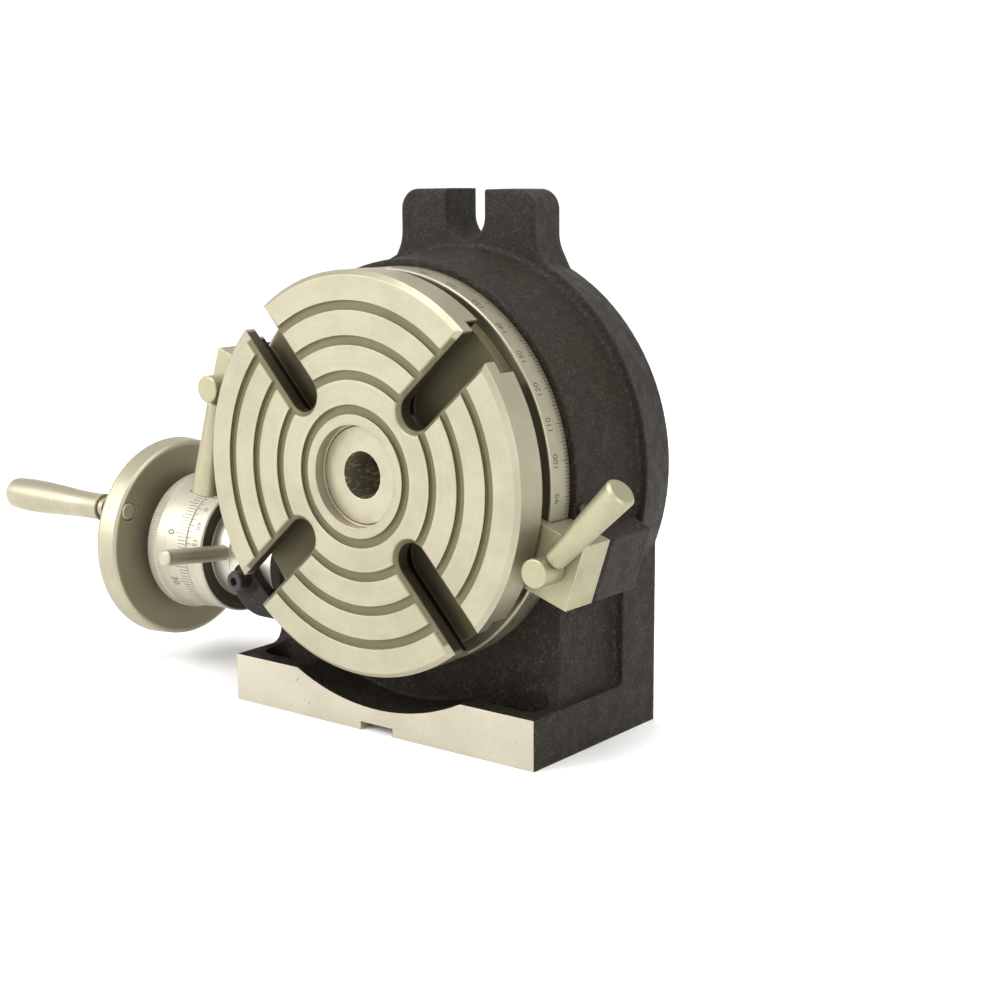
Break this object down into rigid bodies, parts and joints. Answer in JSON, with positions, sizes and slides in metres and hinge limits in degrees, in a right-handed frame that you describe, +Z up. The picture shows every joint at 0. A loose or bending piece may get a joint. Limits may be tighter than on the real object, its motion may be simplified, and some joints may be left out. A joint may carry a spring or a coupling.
{
  "type": "rotary table",
  "caption": "Horizontal and vertical rotary table: round slotted table driven by a worm, with dial handwheel, rim clamps and a cast foot.",
  "frame": {"origin": "middle of the foot's underside, under the table's axis", "axes": "+X to the right seen from the front, -Y out of the table's face along its axis, +Z up"},
  "size_m": [0.3274, 0.1021, 0.2022],
  "materials": {
    "cast_paint": "rough cast, dark paint",
    "table_iron": "fine turned, satin",
    "steel": "turned, satin",
    "clamp_steel": "blasted satin",
    "handwheel_satin": "satin",
    "dial_satin": "satin chrome, graduated",
    "black_oxide": "black oxide",
    "bronze": "machined bronze"
  },
  "bodies": {
    "base": {"base_casting": "cast_paint", "zero_index": "cast_paint", "locating_key_lower": "black_oxide", "locating_key_upper": "black_oxide", "key_screws": "black_oxide"},
    "table": {"table_plate": "table_iron", "centre_bush": "table_iron", "worm_wheel": "bronze", "worm_wheel_screws": "black_oxide", "thrust_washer": "steel", "spindle_nut": "steel", "nut_lock_screw": "black_oxide"},
    "sleeve": {"eccentric_sleeve": "steel", "sleeve_lever_pin": "steel", "vernier_ring": "dial_satin", "worm_bush_outer": "bronze", "worm_bush_inner": "bronze", "worm_retaining_nut": "steel"},
    "worm": {"worm_shaft": "steel", "worm_thrust_washer": "steel", "handwheel": "handwheel_satin", "handwheel_key": "steel", "handwheel_washer": "steel", "handwheel_nut": "steel", "handle_spindle": "steel", "dial_spring": "steel"},
    "dial": {"graduated_collar": "dial_satin"},
    "grip": {"handle_grip": "handwheel_satin"},
    "lock": {"sleeve_lock_screw": "black_oxide"},
    "right_clamp_block": {"clamp_block_right": "clamp_steel"},
    "left_clamp_block": {"clamp_block_left": "clamp_steel"},
    "right_clamp_lever": {"clamp_stud_right": "clamp_steel", "clamp_lever_right": "clamp_steel"},
    "left_clamp_lever": {"clamp_stud_left": "clamp_steel", "clamp_lever_left": "clamp_steel"}
  },
  "joints": [
    {"name": "table_spin", "type": "hinge", "parent": "base", "child": "table", "pos_m": [0, 0, 0.1], "axis": [0, -1, 0], "continuous": true},
    {"name": "sleeve_turn", "type": "hinge", "parent": "base", "child": "sleeve", "pos_m": [0, -0.0019, 0.05014], "axis": [1, 0, 0], "range_deg": [0, 60]},
    {"name": "worm_spin", "type": "hinge", "parent": "sleeve", "child": "worm", "pos_m": [0, -0.003, 0.0525], "axis": [1, 0, 0], "continuous": true},
    {"name": "dial_turn", "type": "hinge", "parent": "worm", "child": "dial", "pos_m": [-0.12, -0.003, 0.0525], "axis": [1, 0, 0], "continuous": true},
    {"name": "grip_spin", "type": "hinge", "parent": "worm", "child": "grip", "pos_m": [-0.18, -0.0363, 0.069], "axis": [1, 0, 0], "continuous": true},
    {"name": "lock_turn", "type": "hinge", "parent": "base", "child": "lock", "pos_m": [-0.0805, -0.0335, 0.0465], "axis": [0, -1, 0], "range_deg": [0, 180]},
    {"name": "right_lever_turn", "type": "hinge", "parent": "base", "child": "right_clamp_lever", "pos_m": [0.07894, -0.046, 0.07404], "axis": [0, -1, 0], "range_deg": [-60, 35]},
    {"name": "right_block_slide", "type": "slide", "parent": "base", "child": "right_clamp_block", "axis": [0, -1, 0], "range_m": [-0.0002083, 0.0001215]},
    {"name": "left_lever_turn", "type": "hinge", "parent": "base", "child": "left_clamp_lever", "pos_m": [-0.07894, -0.046, 0.12596], "axis": [0, -1, 0], "range_deg": [-90, 5]},
    {"name": "left_block_slide", "type": "slide", "parent": "base", "child": "left_clamp_block", "axis": [0, -1, 0], "range_m": [-0.0003124, 0.0000173]}
  ],
  "couplings": [
    {"joint": "worm_spin", "follows": "table_spin", "ratio": -90},
    {"joint": "right_lever_turn", "follows": "right_block_slide", "rad_per_m": 5026.5},
    {"joint": "left_lever_turn", "follows": "left_block_slide", "rad_per_m": 5026.5}
  ]
}
